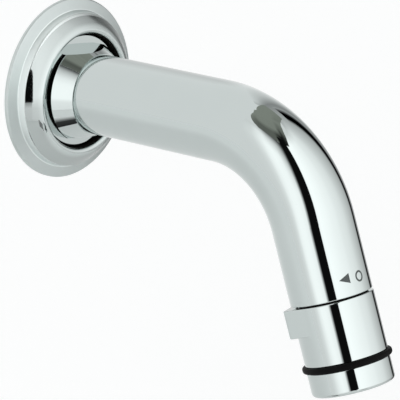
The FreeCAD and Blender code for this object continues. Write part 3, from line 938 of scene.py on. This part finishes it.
SCREENS = (
    ("box_left", BOX_LEFT, BOX_LEFT_ROWS),
    ("box_right", BOX_RIGHT, BOX_RIGHT_ROWS),
    ("gap_dark", (34.3, 51.8), ((-0.22, GAP_LEVELS), (2.1, GAP_LEVELS)), 0.5),
    ("strip_dark", STRIP, ((-0.95, STRIP_LEVELS), (1.75, STRIP_LEVELS)), 0.02),
    ("low_dark", (1.0, 5.0, 17.0, 23.0), ((-0.93, PATCH_LEVELS), (-0.70, PATCH_LEVELS)), 0.3),
    ("low_left", (62.0, 75.0, 110.0, 128.0), (
        (-0.9, (0.8, 0.45, 0.45, 0.8)), (-0.55, (0.9, 0.7, 0.7, 0.9))), 1.05),
    ("foot_dark", (60.0, 68.0, 88.0, 96.0), (
        (-0.93, (0.9, 0.02, 0.02, 0.9)), (-0.50, (0.9, 0.05, 0.05, 0.9)),
        (-0.42, (0.95, 0.35, 0.35, 0.95)), (-0.34, (1.0, 0.9, 0.9, 1.0))), 1.2),
    ("back_dim", (-120.5, -128.0, -148.0, -162.0), (
        (-0.7, EVEN_LEVELS), (-0.35, (1.0, 0.76, 0.76, 1.0)), (0.55, (1.0, 0.80, 0.80, 1.0)),
        (1.2, EVEN_LEVELS))),
)

# The ceiling's edge: degrees from the front to the left, reach in metres, and the strength of the light there.
CEILING_EDGE = (
    (-180, 0.33, 0.34), (-160, 0.31, 0.34), (-145, 0.36, 0.34), (-132, 0.50, 0.34), (-122, 0.72, 0.34),
    (-114, 1.00, 0.34), (-110, 1.35, 0.34), (-106, 1.62, 0.34), (-97, 1.68, 0.34), (-88, 1.72, 0.32),
    (-82, 1.52, 0.30), (-76, 1.20, 0.30), (-68, 0.98, 0.28), (-60, 0.84, 0.30), (-47, 0.73, 0.33),
    (-36, 0.70, 0.30), (-15, 0.72, 0.25), (0, 0.82, 0.22), (10, 0.96, 0.18), (20, 1.13, 0.08),
    (26, 1.30, 0.05), (31, 1.50, 0.02), (36, 1.60, 0.01), (44, 1.63, 0.02), (50, 1.62, 0.07),
    (55, 1.60, 0.13), (60, 1.58, 0.17), (66, 1.62, 0.17), (76, 1.70, 0.17), (84, 1.72, 0.17),
    (92, 1.66, 0.17), (99, 1.48, 0.20), (105, 1.22, 0.26), (111, 0.95, 0.30), (118, 0.70, 0.34),
    (128, 0.48, 0.34), (142, 0.38, 0.34), (160, 0.34, 0.34), (180, 0.33, 0.34),
)


@dataclass
class Studio:
    """Pale floor, white surroundings, two tall soft boxes with a dark gap, and the camera.

    Lengths are in metres. The camera stands at eye and looks along eye_turn and eye_rise, in degrees, and its
    lens is given in pixels of the photograph's frame.
    """

    floor_z: float = -1.0
    floor_radius: float = 9.0
    floor_segments: int = 96
    floor_tint: tuple = (0.86, 0.87, 0.87)
    floor_lift: float = 0.25
    gloss_lift: float = 0.12
    shade_radius: float = 1.9
    plain_radius: float = 3.2
    ambient: float = 0.85
    wall_radius: float = 1.5
    ceiling_y: float = -0.1
    ceiling_z: float = 2.65
    ceiling_level: float = 0.34
    ceiling_tint: tuple = (0.95, 1.0, 0.88)
    ceiling_parts: tuple = ((0.0, 0.0), (0.42, 0.08), (0.64, 1.0), (1.0, 1.0))
    eye: tuple = (-0.68715, -0.63290, 0.24212)
    eye_turn: float = 50.12
    eye_rise: float = 16.90
    frame_pixels: float = 400.0
    focal_pixels: float = 2731.95
    shift_pixels: tuple = (4.76, -0.44)
    sensor_width: float = 36.0
    clip: tuple = (0.01, 50.0)

    def world(self) -> None:
        """White surroundings for the camera and for gloss, a plain level for the rest."""
        world = bpy.data.worlds.new("studio")
        bpy.context.scene.world = world
        world.use_nodes = True
        world.node_tree.nodes.clear()
        sky = NodeBuilder(world.node_tree)
        light = sky.node("LightPath").outputs
        seen = sky.math("MAXIMUM", light["Is Camera Ray"], light["Is Glossy Ray"])
        through = sky.math("MAXIMUM", seen, light["Is Transmission Ray"])
        level = sky.ramp(through, (0.0, 1.0), (self.ambient, 1.0))
        glow = sky.node("Background", {"Color": WHITE, "Strength": level})
        sky.node("OutputWorld", {"Surface": glow.outputs[0]})

    def floor(self) -> None:
        """Plain round floor that keeps the shadow and reads white to the camera."""
        shader = Shader("floor_paper")
        light = shader.node("LightPath").outputs
        away = shader.node("VectorMath", {0: shader.place()}, operation="LENGTH").outputs["Value"]
        far = shader.ramp(away, (self.shade_radius, self.plain_radius), (self.gloss_lift, self.floor_lift))
        gloss = shader.math("MULTIPLY", light["Is Glossy Ray"], far)
        lift = shader.math("MULTIPLY_ADD", light["Is Camera Ray"], self.floor_lift, gloss)
        paper = shader.node("BsdfDiffuse", {"Color": (*self.floor_tint, 1.0)})
        glow = shader.node("Emission", {"Strength": lift})
        both = shader.node("AddShader", {0: paper.outputs[0], 1: glow.outputs[0]})
        mesh = bpy.data.meshes.new("floor")
        disc = bmesh.new()
        bmesh.ops.create_circle(disc, cap_ends=True, segments=self.floor_segments, radius=self.floor_radius,
                                matrix=Matrix.Translation((0.0, 0.0, self.floor_z)))
        disc.to_mesh(mesh)
        disc.free()
        self.stand(mesh, shader.finish(both), True)

    @staticmethod
    def stand(mesh: bpy.types.Mesh, material: bpy.types.Material, seen: bool) -> None:
        """Put a stage mesh into the scene.

        Args:
            mesh: The mesh.
            material: Its material.
            seen: Whether the camera sees it directly.
        """
        thing = bpy.data.objects.new("stage_" + mesh.name, mesh)
        bpy.context.scene.collection.objects.link(thing)
        mesh.materials.append(material)
        thing.visible_camera = seen

    def lit_sheet(self, name: str, grid: list, tint: tuple = (1.0, 1.0, 1.0)) -> None:
        """Put up a sheet of light that the camera doesn't see directly.

        Args:
            name: Its name.
            grid: Columns of (place, strength), all with the same number of rows.
            tint: Linear colour of the light.
        """
        sheet = bmesh.new()
        layer = sheet.verts.layers.float_color.new("level")
        columns = []
        for column in grid:
            rail = [sheet.verts.new(place) for place, _ in column]
            for vertex, (_, level) in zip(rail, column):
                vertex[layer] = (level, level, level, 1.0)
            columns.append(rail)
        for here, after in zip(columns, columns[1:]):
            for row in range(len(here) - 1):
                sheet.faces.new((here[row], after[row], after[row + 1], here[row + 1]))
        mesh = bpy.data.meshes.new(name)
        sheet.to_mesh(mesh)
        sheet.free()
        shader = Shader(name + "_light")
        strength = shader.node("Attribute", attribute_name="level").outputs["Fac"]
        glow = shader.node("Emission", {"Strength": strength, "Color": (*tint, 1.0)})
        self.stand(mesh, shader.finish(glow), False)

    @staticmethod
    def stations(turns: tuple, step: float = 3.0) -> list:
        """Split the way from the first turn to the last, so that every given turn is met.

        Args:
            turns: Degrees, in order.
            step: Widest gap between two stations, in degrees.

        Returns:
            For each station its turn, the index of the span it is on and its share of that span.
        """
        found = [(turns[0], 0, 0.0)]
        for index in range(len(turns) - 1):
            span = turns[index + 1] - turns[index]
            count = max(1, math.ceil(abs(span) / step))
            for number in range(1, count + 1):
                share = number / count
                found.append((turns[index] + span * share, index, share))
        return found

    def screen(self, name: str, turns: tuple, rows: tuple, nearer: float = 0.0) -> None:
        """Tall curved screen round the object.

        Args:
            name: Its name.
            turns: Degrees at which each level stands, counted from the front to the left.
            rows: Pairs of a height in metres and the strength of light at each of the turns.
            nearer: How much nearer it stands than the others, in metres.
        """
        radius = self.wall_radius - nearer
        grid = []
        for turn, index, share in self.stations(turns):
            at = math.radians(turn)
            column = []
            for height, levels in rows:
                level = levels[index] + (levels[index + 1] - levels[index]) * share
                column.append(((-radius * math.sin(at), -radius * math.cos(at), height), level))
            grid.append(column)
        self.lit_sheet(name, grid)

    def ceiling(self) -> None:
        """Hang the dim ceiling over the object, darker towards the gap between the soft boxes."""
        turns = tuple(row[0] for row in CEILING_EDGE)
        grid = []
        for turn, index, share in self.stations(turns):
            here, after = CEILING_EDGE[index], CEILING_EDGE[index + 1]
            reach, edge_level = (here[key] + (after[key] - here[key]) * share for key in (1, 2))
            at = math.radians(turn)
            column = []
            for part, weight in self.ceiling_parts:
                out = reach * part
                place = (-out * math.sin(at), self.ceiling_y - out * math.cos(at), self.ceiling_z)
                column.append((place, self.ceiling_level + (edge_level - self.ceiling_level) * weight))
            grid.append(column)
        self.lit_sheet("ceiling", grid, self.ceiling_tint)

    def camera(self) -> None:
        """Camera of the photograph: a long lens, from the left and a little above."""
        turn, rise = math.radians(self.eye_turn), math.radians(self.eye_rise)
        level = math.cos(rise)
        back = Vector((-math.sin(turn) * level, -math.cos(turn) * level, math.sin(rise)))
        lens = bpy.data.cameras.new("camera")
        eye = bpy.data.objects.new("camera", lens)
        bpy.context.scene.collection.objects.link(eye)
        eye.location = self.eye
        eye.rotation_mode = "QUATERNION"
        eye.rotation_quaternion = (-back).to_track_quat("-Z", "Y")
        lens.sensor_width = self.sensor_width
        lens.lens = self.focal_pixels / self.frame_pixels * self.sensor_width
        lens.shift_x, lens.shift_y = (shift / self.frame_pixels for shift in self.shift_pixels)
        lens.clip_start, lens.clip_end = self.clip
        bpy.context.scene.camera = eye

    def build(self) -> None:
        """Set up the whole studio."""
        self.world()
        self.floor()
        for screen in SCREENS:
            self.screen(*screen)
        self.ceiling()
        self.camera()
        bpy.context.scene.view_settings.view_transform = "Standard"


def dress_nodes() -> None:
    """Give every CAD node the finish of its slot in the record."""
    finishes = {slot: finish.material("finish_" + slot.value) for slot, finish in FINISHES.items()}
    for part in frame["record"]["subparts"]:
        node = frame["nodes"][part["node"]]
        slot = Slot(part["material_slot"])
        node.data.materials.clear()
        node.data.materials.append(finishes[slot])
        LOG.info("node %s: %s", part["node"], slot.value)
    for name, finish in OWN_FINISHES.items():
        own = frame["nodes"][name].data.materials
        own.clear()
        own.append(finish.material("finish_" + name))


def main() -> None:
    """Build the studio and every piece."""
    logging.basicConfig(level=logging.INFO, format="%(name)s: %(message)s")
    Studio().build()
    dress_nodes()
    TubeMarks(SpoutAxis()).build()
    ThreadedNipple().build()


if __name__ == "__main__":
    main()
